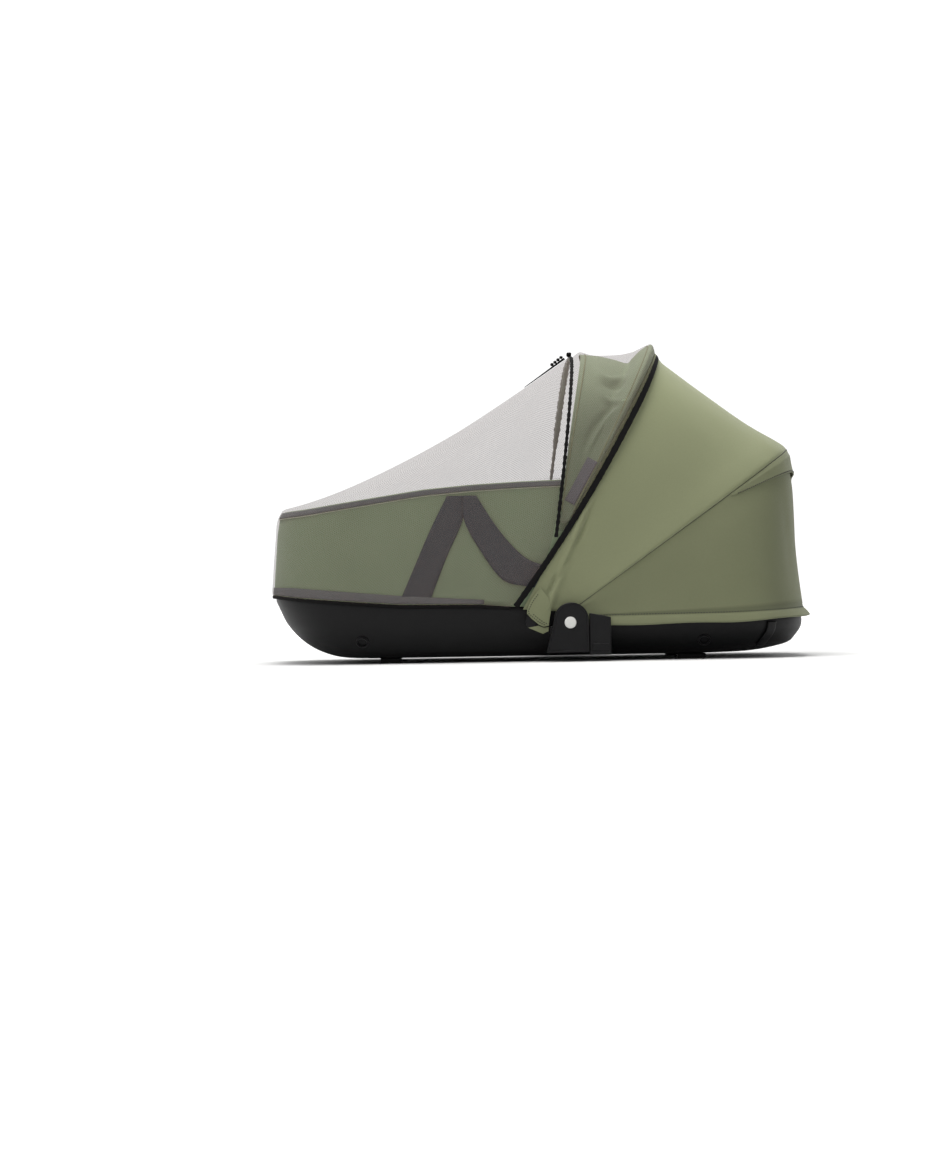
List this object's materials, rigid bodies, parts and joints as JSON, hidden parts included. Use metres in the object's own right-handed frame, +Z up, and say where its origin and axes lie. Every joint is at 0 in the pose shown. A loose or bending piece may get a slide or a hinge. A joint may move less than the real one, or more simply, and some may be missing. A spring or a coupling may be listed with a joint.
{
  "type": "stroller mosquito net on a hooded carrycot",
  "caption": "Fine mesh stroller net with dark elastic bindings, fitted over a hooded carrycot from the foot end to the hood's front bow.",
  "frame": {"origin": "middle of the outer box, on the ground under the feet", "axes": "+X towards the head end under the hood, -X towards the foot end, -Y the near side with the bare label patch, +Z up"},
  "size_m": [0.7835, 0.4298, 0.4559],
  "materials": {
    "net_mesh": "fine mosquito mesh, sheer in the visual model",
    "black_binding": "matte gathered elastic binding",
    "green_hood_cloth": "matte plain weave, olive green",
    "green_tub_cloth": "matte plain weave, olive green",
    "grey_webbing": "matte flat webbing",
    "grey_label": "bare woven patch",
    "black_base_plastic": "fine-grained moulding",
    "black_foot_rubber": "matte",
    "white_cap": "smooth"
  },
  "bodies": {
    "root": {"base_clip_far": "black_base_plastic", "base_clip_near": "black_base_plastic", "base_ring_foot_end_far": "black_base_plastic", "base_ring_foot_end_near": "black_base_plastic", "base_ring_head_end_far": "black_base_plastic", "base_ring_head_end_near": "black_base_plastic", "base_shell": "black_base_plastic", "carry_strap_far": "grey_webbing", "carry_strap_near": "grey_webbing", "foot_foot_end_far": "black_foot_rubber", "foot_foot_end_near": "black_foot_rubber", "foot_head_end_far": "black_foot_rubber", "foot_head_end_near": "black_foot_rubber", "hinge_block_far": "black_base_plastic", "hinge_block_near": "black_base_plastic", "hinge_bracket_far": "black_base_plastic", "hinge_bracket_near": "black_base_plastic", "hinge_cap_far": "white_cap", "hinge_cap_near": "white_cap", "hinge_plate_far": "black_base_plastic", "hinge_plate_near": "black_base_plastic", "hood_canopy": "green_hood_cloth", "hood_corner_far": "green_hood_cloth", "hood_corner_near": "green_hood_cloth", "hood_rear": "green_hood_cloth", "hood_visor": "green_hood_cloth", "label_patch": "grey_label", "lower_band": "grey_webbing", "net_front": "net_mesh", "net_hem_binding": "black_binding", "net_hood_panel": "net_mesh", "net_rear_binding": "black_binding", "net_seam_binding": "black_binding", "rear_flap": "green_hood_cloth", "ridge_tape": "black_binding", "rim_band": "grey_webbing", "seam_knot": "black_binding", "seam_pull": "black_binding", "tub_wall": "green_tub_cloth"}
  },
  "joints": []
}
